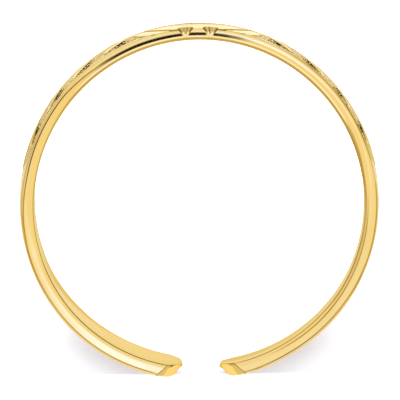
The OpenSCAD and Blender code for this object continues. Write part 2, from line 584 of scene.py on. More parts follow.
@dataclass(frozen=True)
class PaintedDarkLine:
    """A fine dark line painted along the upper side face, where two buffed surfaces meet, standing
    in for a dark reflection there.

    Attributes:
        angles: Angles from the crown in degrees, rising.
        radii: Its radius at them, in millimetres.
        painted_shading: Its darkness at them.
    """

    angles: tuple[float, ...]
    radii: tuple[float, ...]
    painted_shading: tuple[float, ...]

    FADE = (-0.04, -0.012)

    def darkness(self, angle: Array, r: Array) -> Array:
        """Painted darkness that the line gives to points.

        Args:
            angle: Angles from the crown in degrees.
            r: Radii in millimetres.

        Returns:
            The painted darkness at each point.
        """
        off = np.abs(r - np.interp(angle, self.angles, self.radii))
        depth = np.interp(angle, self.angles, self.painted_shading, left=0.0, right=0.0)
        return depth * smooth_step(-off, *self.FADE)


@dataclass(frozen=True)
class Shank:
    """The ring's one-piece band: plain shank, rails, sunk panels, crown knot and rounded ends."""

    sizes: RingSizes
    relief: Relief

    OUTSIDE_POINTS = 65
    EDGE_POINTS = 6
    FACE_POINTS = 14
    CROWN_EDGE = EdgeShape(
        0.24, 0.1, 0.13, (0.0, 0.18, 0.3, 0.8, 1.0), (34.0, 25.0, 14.0, 5.0, -3.0)
    )
    PANEL_EDGE = EdgeShape(
        0.18, 0.1, 0.13, (0.0, 0.3, 0.54, 0.85, 1.0), (1.2, -0.5, -1.2, -2.2, -5.0)
    )
    PLAIN_EDGE = replace(PANEL_EDGE, outer_r=0.12, dome_h=0.06)
    FACE_CHANGE_DEG = (40.0, 105.0)
    DOME_CHANGE_DEG = (70.0, 92.0)
    # Painted dark lines that stand in for dark reflections on the side faces and the outside
    PAINTED_DARK_LINES = (
        PaintedDarkLine(
            (-168, -164, -150, -120, -105, -95, -88, -80, -70, -50, -40, -34),
            (8.06, 8.06, 8.07, 8.09, 8.1, 8.075, 8.04, 7.995, 8.0, 8.0, 7.93, 7.88),
            (0.0, 0.55, 0.6, 0.65, 0.68, 0.66, 0.68, 0.85, 1.0, 0.9, 0.7, 0.0),
        ),
        PaintedDarkLine(
            (80, 88, 105, 125, 150, 162, 167),
            (8.13, 8.12, 8.13, 8.09, 8.07, 8.1, 8.1),
            (0.0, 0.5, 0.6, 0.68, 0.72, 0.66, 0.0),
        ),
        PaintedDarkLine(
            (84, 100, 130, 146, 158),
            (7.74, 7.75, 7.76, 7.75, 7.74),
            (0.0, 0.6, 0.76, 0.62, 0.0),
        ),
        PaintedDarkLine(
            (26, 34, 45, 56, 68, 80),
            (8.1, 8.1, 8.1, 8.1, 8.1, 8.12),
            (0.0, 0.5, 0.6, 0.75, 0.75, 0.0),
        ),
    )
    # Darker band painted round the inner edge: where it lies, out from the hole, up to the rim and
    # round the ring
    INNER_EDGE_DARKENING = 0.3
    INNER_EDGE_DARKENING_OUT = (-0.18, -0.11)
    INNER_EDGE_DARKENING_UP = (-0.22, -0.12)
    INNER_EDGE_DARKENING_DEG = (-72, -48, 78, 108)
    # Painted shade in the crease before each end, from a little outside the hole
    END_CREASE_SHADE = 0.8
    END_CREASE_FADE = (-0.02, -0.01)
    END_CREASE_FROM = 0.06
    UPPER_FACE_H = 0.24
    INSIDE_POINTS = 7
    NOTCH_STEP = 0.022
    FINE_STEP = 0.043
    COARSE_STEP = 0.22
    # Painted shade on a notch's flanks, the share of it at its back, and where back and bottom end
    NOTCH_FLANK_SHADE = 0.85
    NOTCH_BACK = 0.3
    NOTCH_BACK_FADE = (0.35, 0.85)
    NOTCH_BOTTOM_FADE = (0.14, 0.26)
    LIP_H = 0.012
    LIP_W = 0.14
    LIP_FADE = (-0.1, -0.05)
    CREASE = 0.012
    TONGUE_STEPS = 30
    TIP_ARC_FROM = 0.03
    PANEL_MARGIN = 0.1
    SLANT_PIVOT = 0.3

    def stations(self) -> Array:
        """Lengths round the crest at which sections are set, finer where there is relief."""
        s = self.sizes
        notches_to, panel_to = s.notch_at + s.notch_r, s.panel_reach + self.PANEL_MARGIN
        ends_at = s.half_round - s.tongue
        tip = np.linspace(math.asin(s.mid / s.end_arc_r), self.TIP_ARC_FROM, self.TONGUE_STEPS)
        half = np.concatenate(
            [
                np.arange(0.0, notches_to, self.NOTCH_STEP),
                np.arange(notches_to, panel_to, self.FINE_STEP),
                np.arange(panel_to, ends_at - self.COARSE_STEP / 2, self.COARSE_STEP),
                ends_at - self.CREASE * np.array([2.0, 1.0]),
                s.half_round - s.end_arc_r * (1 - np.cos(tip)),
            ]
        )
        return np.concatenate([-half[:0:-1], half])

    def upper_half(self, shape: EdgeShape) -> Array:
        """Plain section from the middle of the inside, over the upper rim, to the outside's middle.

        Args:
            shape: Shape of its inner edge and face.

        Returns:
            Points as (radius, height over the band's middle).
        """
        s = self.sizes
        inner, outer = shape.inner_r, shape.outer_r
        dome_r = (s.mid**2 + shape.dome_h**2) / (2 * shape.dome_h)
        dome_x = s.crest_r - dome_r
        edge_x = dome_x + math.sqrt((dome_r - outer) ** 2 - (s.mid - outer) ** 2)
        lean = math.degrees(math.asin((s.mid - outer) / (dome_r - outer)))
        wall = np.stack(
            [
                np.full(self.INSIDE_POINTS // 2, s.bore_r),
                np.linspace(0.0, s.mid - inner, self.INSIDE_POINTS // 2 + 1)[:-1],
            ],
            axis=1,
        )
        roll = arc(
            s.bore_r + inner, s.mid - inner, inner, 180, 90 + shape.tips[0], self.EDGE_POINTS * 2
        )
        # The buffed side face is a low cushion, flattest in its middle
        tip_out = -shape.tips[-1]
        end_x = edge_x + outer * math.sin(math.radians(tip_out))
        x = np.linspace(roll[-1, 0], end_x, self.FACE_POINTS + 2)
        share = (x - x[0]) / (x[-1] - x[0])
        slope = np.tan(np.radians(np.interp(share, shape.shares, shape.tips)))
        rise = np.cumsum((slope[1:] + slope[:-1]) / 2 * np.diff(x))
        face = np.stack([x, roll[-1, 1] + np.concatenate([[0.0], rise])], axis=1)
        edge_y = face[-1, 1] - outer * math.cos(math.radians(tip_out))
        edge = arc(edge_x, edge_y, outer, 90 - tip_out, lean, self.EDGE_POINTS)
        v = np.linspace(edge[-1, 1], 0.0, self.OUTSIDE_POINTS // 2 + 1)[1:]
        outside = np.stack([dome_x + np.sqrt(dome_r**2 - v**2), v], axis=1)
        half = np.concatenate([wall, roll, face[1:-1], edge, outside])
        half[:, 1] *= s.mid / half[:, 1].max()
        return half

    def section(self, shape: EdgeShape) -> Array:
        """Closed plain section of a shape, from the middle of the inside and back to it."""
        half = self.upper_half(shape)
        mirrored = half[::-1].copy()
        mirrored[:, 1] *= -1
        return np.concatenate([half, mirrored[1:-1]])

    def inner_top(self, r: Array) -> Array:
        """Height over the middle of the plain section's upper side at a radius."""
        s = self.sizes
        inner = self.CROWN_EDGE.inner_r
        back = np.clip(s.bore_r + inner - r, 0.0, inner)
        return s.mid - inner + np.sqrt(inner**2 - back**2)

    def grid(self) -> tuple[Array, Array, Array, Array]:
        """Radius, length round the crest, height and patina of every point of the band.

        Returns:
            Four arrays with a row for each station and a column for each section point.
        """
        s = self.sizes
        shapes = (self.CROWN_EDGE, self.PANEL_EDGE, self.PLAIN_EDGE)
        crown, panel, plain = (self.section(shape) for shape in shapes)
        u = np.repeat(self.stations()[:, None], len(crown), axis=1)
        angle = np.degrees(u / s.crest_r)
        face = smooth_step(np.abs(angle), *self.FACE_CHANGE_DEG)[..., None]
        dome = smooth_step(np.abs(angle), *self.DOME_CHANGE_DEG)[..., None]
        r, v = np.moveaxis(crown + face * (panel - crown) + dome * (plain - panel), -1, 0)
        outside = r > s.rim_r - s.outer_edge_r / 2
        # The inner edge by the pattern is painted darker, and painted dark lines stand in for
        # dark reflections between the buffed surfaces
        inner = self.INNER_EDGE_DARKENING * np.interp(angle, self.INNER_EDGE_DARKENING_DEG, (0.0, 1.0, 1.0, 0.0))
        inner *= smooth_step(s.bore_r - r, *self.INNER_EDGE_DARKENING_OUT)
        inner *= smooth_step(v - s.mid, *self.INNER_EDGE_DARKENING_UP)
        lines = [line.darkness(angle, r) for line in self.PAINTED_DARK_LINES]
        # Painted shade in the crease before each end
        off_crease = np.abs(s.half_round - np.abs(u) - s.tongue)
        crease = self.END_CREASE_SHADE * smooth_step(-off_crease, *self.END_CREASE_FADE)
        crease *= r > s.bore_r + self.END_CREASE_FROM
        upper = np.maximum.reduce([inner, *lines, crease]) * (v > s.mid - self.UPPER_FACE_H)
        r = r - np.where(outside, s.dome(v) - self.relief.radius(u, v), 0.0)
        painted_shading = np.maximum(np.where(outside, self.relief.painted_shading(u, v), 0.0), upper)
        # Metal pushed up by the cutter stands round the bottom of each notch
        beside = np.abs(u) - s.notch_at
        spot = np.hypot(beside, r - s.bore_r - s.notch_floor) / self.LIP_W
        rim = smooth_step(np.abs(v) - s.mid, *self.LIP_FADE)
        v = v + np.sign(v) * self.LIP_H * np.exp(-(spot**2)) * rim
        limit = self.relief.notch_limit(u, v)
        cut = r > limit
        # The flanks of a notch get painted shade, and its bottom and back stay brighter
        aside = np.hypot(beside, s.mid - np.abs(v))
        turned = smooth_step(np.abs(beside) / np.maximum(aside, 1e-6), *self.NOTCH_BACK_FADE)
        flank = self.NOTCH_FLANK_SHADE * (self.NOTCH_BACK + (1 - self.NOTCH_BACK) * turned)
        flank = flank * smooth_step(aside, *self.NOTCH_BOTTOM_FADE)
        painted_shading = np.where(cut, flank, painted_shading)
        r = np.where(cut, limit, r)
        v = np.where(cut, np.sign(v) * np.minimum(np.abs(v), self.inner_top(r)), v)
        return r, u, v, painted_shading

    def round_ends(self, r: Array, u: Array, v: Array) -> tuple[Array, Array, Array]:
        """Draws the sections in towards each end, so that its corners and edges are round.

        Args:
            r: Radii.
            u: Lengths round the crest.
            v: Heights over the band's middle.

        Returns:
            The three arrays, changed.
        """
        s = self.sizes
        left = s.half_round - np.abs(u)
        half = np.sqrt(s.end_arc_r**2 - np.clip(s.end_arc_r - left, 0.0, s.end_arc_r) ** 2)
        half = np.where(left < s.tongue, half, s.mid)
        drops = []
        for edge_r in (s.end_inner_r, s.end_edge_r):
            past = np.clip((edge_r - left) / edge_r, 0.0, 1.0)
            drops.append(edge_r * (1 - np.sqrt(1 - past**2)))
        thick = (s.crest_r - s.bore_r - sum(drops)) / (s.crest_r - s.bore_r)
        # The tip, and even more the crease before it, lean away from the gap towards the outside
        share = np.clip((r - s.bore_r) / (s.rim_r - s.bore_r), 0.0, 1.0)
        near = np.clip(1 - np.abs(left - s.tongue) / s.tongue, 0.0, 1.0)
        slant = s.tip_slant * smooth_step(-left, -3 * s.tongue, -s.tongue) + s.crease_slant * near
        u = u - np.sign(u) * slant * (share - self.SLANT_PIVOT)
        return s.bore_r + drops[0] + (r - s.bore_r) * thick, u, v * half / s.mid

    def build(self) -> Mesh:
        """Makes the band's mesh.

        Returns:
            A closed mesh in metres with a UV map in millimetres along and round the section,
            and an attribute that holds the painted shade of its recesses.
        """
        s = self.sizes
        r, u, v, painted_shading = self.grid()
        r, u, v = self.round_ends(r, u, v)
        a = u / s.crest_r
        points = np.stack([r * np.sin(a), r * np.cos(a), v + s.mid], axis=-1) * MM
        mesh = closed_tube(NODE, points, painted_shading)
        self.add_uv(mesh, u)
        return mesh

    def add_uv(self, mesh: Mesh, u: Array) -> None:
        """Adds the UV map: length round the band, and length round its section.

        Args:
            mesh: The band's mesh.
            u: Lengths round the crest, by station and section point.
        """
        columns = u.shape[1]
        section = self.section(self.PLAIN_EDGE)
        steps = np.hypot(*np.diff(np.vstack([section, section[:1]]), axis=0).T)
        round_section = np.concatenate([[0.0], np.cumsum(steps)])
        corners = np.zeros(len(mesh.loops), np.int32)
        mesh.loops.foreach_get("vertex_index", corners)
        row, column = corners // columns, corners % columns
        # The last column of quads closes the section, so its far corners take the full length
        first_of_face = np.repeat(
            np.array([p.loop_start for p in mesh.polygons]),
            np.array([p.loop_total for p in mesh.polygons]),
        )
        closing = (corners[first_of_face] % columns == columns - 1) & (column == 0)
        along = u[row, 0]
        across = np.where(closing, round_section[-1], round_section[column])
        layer = mesh.uv_layers.new(name=UV_MAP)
        layer.data.foreach_set("uv", np.stack([along, across], axis=1).astype(np.float32).ravel())


@dataclass(frozen=True)
class Wrap:
    """Bends flat work, drawn round the band and across it, round the domed outside."""

    sizes: RingSizes

    # Name of each step's result, its arithmetic and its terms. Height falls as Y grows, so that
    # the work isn't turned inside out
    STEPS = (
        ("dome squared", "POWER", "Dome Radius", 2.0),
        ("across squared", "POWER", "Y", 2.0),
        ("difference", "SUBTRACT", "dome squared", "across squared"),
        ("root", "SQRT", "difference"),
        ("dome", "ADD", "root", "Dome Centre"),
        ("radius", "ADD", "dome", "Z"),
        ("angle", "DIVIDE", "X", "Crest Radius"),
        ("sine", "SINE", "angle"),
        ("cosine", "COSINE", "angle"),
        ("right", "MULTIPLY", "radius", "sine"),
        ("up", "MULTIPLY", "radius", "cosine"),
        ("high", "SUBTRACT", "Middle", "Y"),
    )

    def add(self, tree: Tree, geometry: Node) -> Node:
        """Adds the bend to a tree whose group input has the crest's, middle's and dome's sizes.

        Flat work has x round the band from the crown, y across the band from its middle, and z as
        the height over the dome, all in millimetres. The result is in metres, in the ring's frame.

        Args:
            tree: Geometry tree.
            geometry: Flat work.

        Returns:
            The bent work.
        """
        given = next(n for n in tree.nodes if n.bl_idname == "NodeGroupInput").outputs
        flat_place = add_node(tree, "GeometryNodeInputPosition")
        flat = add_node(tree, "ShaderNodeSeparateXYZ", {0: flat_place}).outputs
        values = {key: given[key] for key in self.inputs()}
        values.update({axis: flat[axis] for axis in "XYZ"})
        for name, operation, *terms in self.STEPS:
            inputs = {i: values.get(term, term) for i, term in enumerate(terms)}
            values[name] = add_node(tree, "ShaderNodeMath", inputs, operation=operation)
        axes = {"X": values["right"], "Y": values["up"], "Z": values["high"]}
        place = add_node(tree, "ShaderNodeCombineXYZ", axes)
        metres = add_node(tree, "ShaderNodeVectorMath", {0: place, "Scale": MM}, operation="SCALE")
        # The flat place is kept as a UV map in millimetres, so the finish follows the band
        mapped = add_node(
            tree,
            "GeometryNodeStoreNamedAttribute",
            {"Geometry": geometry, "Name": UV_MAP, "Value": flat_place},
            data_type="FLOAT2",
            domain="CORNER",
        )
        return add_node(tree, "GeometryNodeSetPosition", {"Geometry": mapped, "Position": metres})

    def inputs(self) -> dict[str, float]:
        """Sizes that a tree with the bend needs, by name."""
        s = self.sizes
        return {
            "Crest Radius": s.crest_r,
            "Dome Radius": s.dome_r,
            "Dome Centre": s.dome_x,
            "Middle": s.mid,
        }


@dataclass(frozen=True)
class NodeWork:
    """A piece of small repeated work, laid out flat by geometry nodes and bent round the band."""

    sizes: RingSizes
    finish: Material

    name = "work"
    SOCKETS = {float: "NodeSocketFloat", int: "NodeSocketInt", Material: "NodeSocketMaterial"}

    def blank(self) -> Mesh:
        """Flat mesh in millimetres that the tree works on."""
        return bpy.data.meshes.new(self.name)

    def settings(self) -> dict[str, Any]:
        """Named inputs of the tree, besides those of the bend."""
        return {}

    def lay_out(self, tree: Tree, given: bpy.types.NodeOutputs) -> Node:
        """Adds the nodes that lay the work out flat.

        Args:
            tree: Geometry tree.
            given: Outputs of its group input.

        Returns:
            The flat work.
        """
        raise NotImplementedError

    def build(self) -> Mesh:
        """Runs the tree once and keeps its result.

        Returns:
            A plain mesh in metres, in the ring's frame.
        """
        wrap = Wrap(self.sizes)
        values = {**self.settings(), **wrap.inputs(), "Finish": self.finish}
        tree = bpy.data.node_groups.new(self.name, "GeometryNodeTree")
        for way in ("INPUT", "OUTPUT"):
            tree.interface.new_socket("Geometry", in_out=way, socket_type="NodeSocketGeometry")
        sockets = {
            key: tree.interface.new_socket(
                key, in_out="INPUT", socket_type=self.SOCKETS[type(value)]
            )
            for key, value in values.items()
        }
        given = add_node(tree, "NodeGroupInput").outputs
        whole = add_node(tree, "GeometryNodeRealizeInstances", {0: self.lay_out(tree, given)})
        smooth = add_node(tree, "GeometryNodeSetShadeSmooth", {"Geometry": wrap.add(tree, whole)})
        finished = {"Geometry": smooth, "Material": given["Finish"]}
        done = add_node(tree, "GeometryNodeSetMaterial", finished)
        add_node(tree, "NodeGroupOutput", {"Geometry": done})
        carrier = add_object(self.name, self.blank())
        modifier = carrier.modifiers.new(self.name, "NODES")
        modifier.node_group = tree
        for key, value in values.items():
            modifier[sockets[key].identifier] = value
        graph = bpy.context.evaluated_depsgraph_get()
        mesh = bpy.data.meshes.new_from_object(
            carrier.evaluated_get(graph), preserve_all_data_layers=True, depsgraph=graph
        )
        carrier.modifiers.remove(modifier)
        bpy.data.objects.remove(carrier)
        mesh.name = self.name
        return mesh


class LeafSprays(NodeWork):
    """Pairs of veined leaves that lean away from the crown along both panels."""

    name = "leaf_sprays"
    ALONG = 40
    ACROSS = 20
    VEINS = 8
    VEIN_LEAN = 0.6
    VEIN_DEPTH = 0.03
    VEIN_W = 0.035
    VEIN_SHADE = 0.4
    WALL_SHADE = 0.6
    DEEPEST_WALL_SHADE = 1.0
    RIB_W = 0.035
    RIB_H = 0.012
    CUP = 0.04
    DIP = 0.04
    DIP_LEN = 0.45
    POINT = 0.004
    SKIRT = 0.03
    SHADE_START = (0.04, 0.14)
    SHADE_END = (-0.72, -0.5)
    RIM_SHARES = (0.88, 0.985)

    def height(self, along: Array, across: Array, half_w: Array) -> Array:
        """Height over the dome of a leaf's top.

        Args:
            along: Distance from the leaf's base.
            across: Distance from its middle line.
            half_w: Half width of the leaf there.

        Returns:
            Heights, highest on the midrib and lowest at the veins and the edge.
        """
        s = self.sizes
        side = np.clip(np.abs(across) / np.maximum(half_w, 1e-6), 0.0, 1.0)
        top = s.leaf_proud - self.CUP * (1 - np.sqrt(np.clip(1 - side**4, 0.0, 1.0)))
        # The leaf dips to the stem at its base and towards the ground at its tip
        ends = np.minimum(along, s.leaf_len - along) / self.DIP_LEN
        top = top - self.DIP * (1 - smooth_step(ends, 0.0, 1.0))
        rib = self.RIB_H * np.exp(-((across / self.RIB_W) ** 2))
        return top + rib - self.veins(along, across) * (1 - side**6)

    def veins(self, along: Array, across: Array) -> Array:
        """Depth of the veins that run out from the midrib."""
        pitch = self.sizes.leaf_len / (self.VEINS + 1)
        phase = (along - np.abs(across) / math.tan(self.VEIN_LEAN)) / pitch
        beside = np.abs(phase - np.round(phase)) * pitch * math.sin(self.VEIN_LEAN)
        groove = self.VEIN_DEPTH * np.exp(-((beside / self.VEIN_W) ** 2))
        return groove * smooth_step(np.abs(across), self.RIB_W, 2.5 * self.RIB_W)

    def blank(self) -> Mesh:
        """Makes one leaf.

        Returns:
            Flat mesh in millimetres from its base at the origin along +X, closed underneath.
        """
        s = self.sizes
        t = (1 - np.cos(np.linspace(0.0, math.pi, self.ALONG + 1))) / 2
        t = self.POINT + (1 - 2 * self.POINT) * t
        along = np.repeat(t[:, None] * s.leaf_len, self.ACROSS + 1, axis=1)
        r = (s.leaf_len**2 + s.leaf_w**2) / (4 * s.leaf_w)
        half_w = np.sqrt(r**2 - (along - s.leaf_len / 2) ** 2) - (r - s.leaf_w / 2)
        side = np.sin(np.linspace(-math.pi / 2, math.pi / 2, self.ACROSS + 1))
        across = half_w * side
        top = self.height(along, across, half_w)
        # A skirt closes the leaf under its rim, so its edge stands out of the sunk ground
        grid = np.stack([along, across, top], axis=-1)
        grid = np.concatenate([grid[:, :1], grid, grid[:, -1:]], axis=1)
        grid[:, [0, -1], 2] = -s.field_depth - self.SKIRT
        # Painted shade lies in the cut beside the leaf, darkest from near its base to its middle
        shade = smooth_step(t, *self.SHADE_START) * smooth_step(-t, *self.SHADE_END)
        wall = self.WALL_SHADE + (self.DEEPEST_WALL_SHADE - self.WALL_SHADE) * shade[:, None]
        painted_shading = np.repeat(wall, grid.shape[1], axis=1)
        # The veins and the leaf's rim get painted shade too
        painted_shading[:, 1:-1] = np.maximum(
            self.VEIN_SHADE * self.veins(along, across) / self.VEIN_DEPTH,
            wall * smooth_step(np.abs(side), *self.RIM_SHARES),
        )
        return closed_tube(self.name, grid, painted_shading)

    def settings(self) -> dict[str, Any]:
        """Places of the leaves along the panels."""
        s = self.sizes
        return {
            "Pairs": s.leaf_pairs,
            "First": s.first_leaf + s.leaf_shift,
            "Pitch": s.leaf_pitch,
            "Aside": s.stem_w / 4,
            "Lean": math.radians(s.leaf_lean),
        }

    def lay_out(self, tree: Tree, given: bpy.types.NodeOutputs) -> Node:
        """Sets a row of leaves along each side of both stems."""
        rows = add_node(tree, "GeometryNodeJoinGeometry")
        for side, rim in itertools.product(Side, Rim):
            signs = {"First": side.value, "Pitch": side.value, "Aside": -rim.value}
            first, step, aside = (
                add_node(tree, "ShaderNodeMath", {0: given[key], 1: sign}, operation="MULTIPLY")
                for key, sign in signs.items()
            )
            start = add_node(tree, "ShaderNodeCombineXYZ", {"X": first, "Y": aside})
            offset = add_node(tree, "ShaderNodeCombineXYZ", {"X": step})
            spots = {"Count": given["Pairs"], "Start Location": start, "Offset": offset}
            line = add_node(tree, "GeometryNodeMeshLine", spots)
            turned = 0.0 if side is Side.RIGHT else math.pi
            terms = {0: given["Lean"], 1: rim.value * side.value, 2: turned}
            lean = add_node(tree, "ShaderNodeMath", terms, operation="MULTIPLY_ADD")
            turn = add_node(tree, "ShaderNodeCombineXYZ", {"Z": lean})
            leaves = {"Points": line, "Instance": given["Geometry"], "Rotation": turn}
            row = add_node(tree, "GeometryNodeInstanceOnPoints", leaves)
            tree.links.new(row.outputs[0], rows.inputs[0])
        return rows


class Stems(NodeWork):
    """Round stem along the middle of each panel."""

    name = "stems"
    OVERLAP = 0.1

    def settings(self) -> dict[str, Any]:
        """Ends, thickness and height of the stems."""
        s = self.sizes
        return {
            "From": s.knot_reach - self.OVERLAP,
            "To": s.panel_reach + self.OVERLAP,
            "Radius": s.stem_w / 2,
            "Height": -s.stem_drop - s.stem_w / 2,
            "Points": 90,
            "Sides": 14,
        }

    def lay_out(self, tree: Tree, given: bpy.types.NodeOutputs) -> Node:
        """Sweeps a circle along a line in each panel."""
        stems = add_node(tree, "GeometryNodeJoinGeometry")
        circle = {"Resolution": given["Sides"], "Radius": given["Radius"]}
        profile = add_node(tree, "GeometryNodeCurvePrimitiveCircle", circle)
        for side in Side:
            ends = {}
            for end, key in (("Start", "From"), ("End", "To")):
                signed = {0: given[key], 1: side.value}
                x = add_node(tree, "ShaderNodeMath", signed, operation="MULTIPLY")
                ends[end] = add_node(tree, "ShaderNodeCombineXYZ", {"X": x, "Z": given["Height"]})
            line = add_node(tree, "GeometryNodeCurvePrimitiveLine", ends)
            spots = {"Curve": line, "Count": given["Points"]}
            points = add_node(tree, "GeometryNodeResampleCurve", spots)
            sweep = {"Curve": points, "Profile Curve": profile, "Fill Caps": True}
            swept = add_node(tree, "GeometryNodeCurveToMesh", sweep)
            tree.links.new(swept.outputs[0], stems.inputs[0])
        return stems


class PunchedGround(NodeWork):
    """Fine grains raised by the punch all over the sunk ground round the leaves and in the eye."""

    name = "punched_ground"
    CELL = 0.04
    MARGIN = 0.035

    def blank(self) -> Mesh:
        """Makes the ground's flat patches, free of leaves, stems and walls.

        Returns:
            Flat mesh in millimetres at the depth of the sunk ground.
        """
        s = self.sizes
        relief = Relief(s)
        u = np.arange(-s.panel_reach, s.panel_reach, self.CELL) + self.CELL / 2
        v = np.arange(-s.field_half, s.field_half, self.CELL) + self.CELL / 2
        u, v = np.meshgrid(u, v, indexing="ij")
        field_part = relief.field_distance(u, v) < -self.MARGIN
        for i, rim in itertools.product(range(s.leaf_pairs), Rim):
            x = np.abs(u) - s.first_leaf - s.leaf_shift - i * s.leaf_pitch
            along, across = s.along_leaf(x, rim.value * v + s.stem_w / 4)
            leaf = lens_distance(along - s.leaf_len / 2, across, s.leaf_len / 2, s.leaf_w / 2)
            field_part &= leaf > self.MARGIN / 2
        field_part &= np.abs(v) > s.stem_w / 2 + self.MARGIN / 2
        field_part &= relief.cut_distance(u, v) > 0.0
        eye = relief.eye_distance(u, v) < -self.MARGIN * 2
        corners = np.array([(-1, -1), (1, -1), (1, 1), (-1, 1)]) * self.CELL / 2
        points = []
        for part, depth in ((field_part, s.field_depth), (eye, s.eye_depth)):
            centre = np.stack([u[part], v[part]], axis=-1)
            square = centre[:, None, :] + corners
            flat = np.concatenate([square, np.full((*square.shape[:2], 1), -depth)], axis=-1)
            points.append(flat.reshape(-1, 3))
        points = np.concatenate(points)
        mesh = bpy.data.meshes.new(self.name)
        mesh.from_pydata(points.tolist(), [], np.arange(len(points)).reshape(-1, 4).tolist())
        mesh.update()
        return mesh

    def settings(self) -> dict[str, Any]:
        """Spacing, size and seed of the grains."""
        return {
            "Spacing": 0.1,
            "Density": 400.0,
            "Grain Radius": 0.046,
            "Sizes Vary": 0.35,
            "Seed": 7,
        }

    def lay_out(self, tree: Tree, given: bpy.types.NodeOutputs) -> Node:
        """Scatters low round grains over the patches."""
        scatter = {
            "Mesh": given["Geometry"],
            "Distance Min": given["Spacing"],
            "Density Max": given["Density"],
            "Seed": given["Seed"],
        }
        spots = add_node(
            tree, "GeometryNodeDistributePointsOnFaces", scatter, distribute_method="POISSON"
        )
        ball = {"Radius": given["Grain Radius"], "Subdivisions": 2}
        grain = add_node(tree, "GeometryNodeMeshIcoSphere", ball)
        low, high = (
            add_node(tree, "ShaderNodeMath", {0: 1.0, 1: given["Sizes Vary"]}, operation=operation)
            for operation in ("SUBTRACT", "ADD")
        )
        spread = {2: low, 3: high, "Seed": given["Seed"]}
        size = add_node(tree, "FunctionNodeRandomValue", spread, data_type="FLOAT")
        grains = {"Points": spots, "Instance": grain, "Scale": size}
        return add_node(tree, "GeometryNodeInstanceOnPoints", grains)


@dataclass(frozen=True)
class GoldFinish:
    """A finish of cast 14 karat yellow gold.

    Attributes:
        name: Common name of the finish.
        bright: Colour where the alloy is palest.
        deep: Colour where it is deepest.
        recess: Painted shade colour of the cast ground, which the buff doesn't reach.
        cut: Painted shade colour of deep cuts.
        edge: Tint of grazing reflections.
        roughness: Roughness of the buffed metal.
        recess_roughness: Roughness where the buff doesn't reach.
        mark_height_mm: Height of the buffing marks.
        wave_height_mm: Height of the slow waves that a soft buff leaves.
        mark_spacing_mm: Spacing of the marks.
        wave_mm: Length of the waves.
        drift_mm: Length over which the colour drifts.
    """

    name: str
    bright: str = "F6DA88"
    deep: str = "EECD77"
    recess: str = "C89C3E"
    cut: str = "342204"
    edge: str = "FAEABA"
    roughness: float = 0.09
    recess_roughness: float = 0.34
    mark_height_mm: float = 0.0005
    wave_height_mm: float = 0.004
    mark_spacing_mm: float = 0.05
    wave_mm: float = 1.6
    drift_mm: float = 2.5

    # Roughness at the smoothest and the roughest marks, as shares of the metal's
    ROUGHNESS_SHARES = (0.7, 1.4)

    def material(self) -> Material:
        """Builds the material.

        Returns:
            A material that reads the piece's UV map in millimetres and its painted shade.
        """
        material = bpy.data.materials.new(self.name)
        tree = empty_tree(material)
        uv = add_node(tree, "ShaderNodeUVMap", uv_map=UV_MAP)
        # Alloy and polish drift slightly in colour over some millimetres
        slow = {"Vector": uv, "Scale": 1 / self.drift_mm, "Detail": 2.0}
        drift = add_node(tree, "ShaderNodeTexNoise", slow)
        tones = {"Factor": drift, "A": hex_to_linear(self.deep), "B": hex_to_linear(self.bright)}
        color = add_node(tree, "ShaderNodeMix", tones, data_type="RGBA")
        painted_shading = add_node(tree, "ShaderNodeAttribute", attribute_name=SHADING_ATTRIBUTE).outputs["Fac"]
        # The recess and cut colours are painted shade, laid on where the attribute says
        stages = []
        for low, high, hue in ((0.0, 0.5, self.recess), (0.5, 1.0, self.cut)):
            span = {"Value": painted_shading, "From Min": low, "From Max": high}
            stage = add_node(tree, "ShaderNodeMapRange", span, interpolation_type="SMOOTHSTEP")
            stages.append(stage)
            tones = {"Factor": stage, "A": color, "B": hex_to_linear(hue)}
            color = add_node(tree, "ShaderNodeMix", tones, data_type="RGBA")
        # Buffing marks run round the band, so the noise is stretched along it
        stretch = add_node(tree, "ShaderNodeMapping", {"Vector": uv, "Scale": (0.05, 1.0, 1.0)})
        fine = {"Vector": stretch, "Scale": 1 / self.mark_spacing_mm, "Detail": 3.0}
        marks = add_node(tree, "ShaderNodeTexNoise", fine)
        low, high = (self.roughness * share for share in self.ROUGHNESS_SHARES)
        span = {"Value": marks, "To Min": low, "To Max": high}
        rough = add_node(tree, "ShaderNodeMapRange", span)
        blend = {"Factor": stages[0], "A": rough, "B": self.recess_roughness}
        rough = add_node(tree, "ShaderNodeMix", blend, data_type="FLOAT")
        long = {"Vector": uv, "Scale": 1 / self.wave_mm, "Detail": 1.0}
        waves = add_node(tree, "ShaderNodeTexNoise", long)
        shape: dict[str, Node] = {}
        for height, size in ((waves, self.wave_height_mm), (marks, self.mark_height_mm)):
            bump = {"Height": height, "Distance": size * MM, "Strength": 1.0, **shape}
            shape = {"Normal": add_node(tree, "ShaderNodeBump", bump)}
        metal = {
            "Base Color": color,
            "Metallic": 1.0,
            "Specular Tint": hex_to_linear(self.edge),
            "Roughness": rough,
            **shape,
        }
        shader = add_node(tree, "ShaderNodeBsdfPrincipled", metal)
        add_node(tree, "ShaderNodeOutputMaterial", {"Surface": shader})
        return material


# Tumbled and buffed round the band: a near mirror with fine marks along it
POLISHED_GOLD = GoldFinish("polished_14k_gold")

# Cut with a bright graver after casting: small facets that flash, a little rougher than the shank
BRIGHT_CUT_GOLD = GoldFinish(
    "bright_cut_14k_gold", roughness=0.15, mark_height_mm=0.0012, wave_height_mm=0.0
)

# Struck with a beading punch and left matt: deeper in colour, with no clear reflection
PUNCHED_GOLD = GoldFinish(
    "punched_14k_gold", bright="F8DC8C", deep="DDB55C", roughness=0.2, wave_height_mm=0.0
)


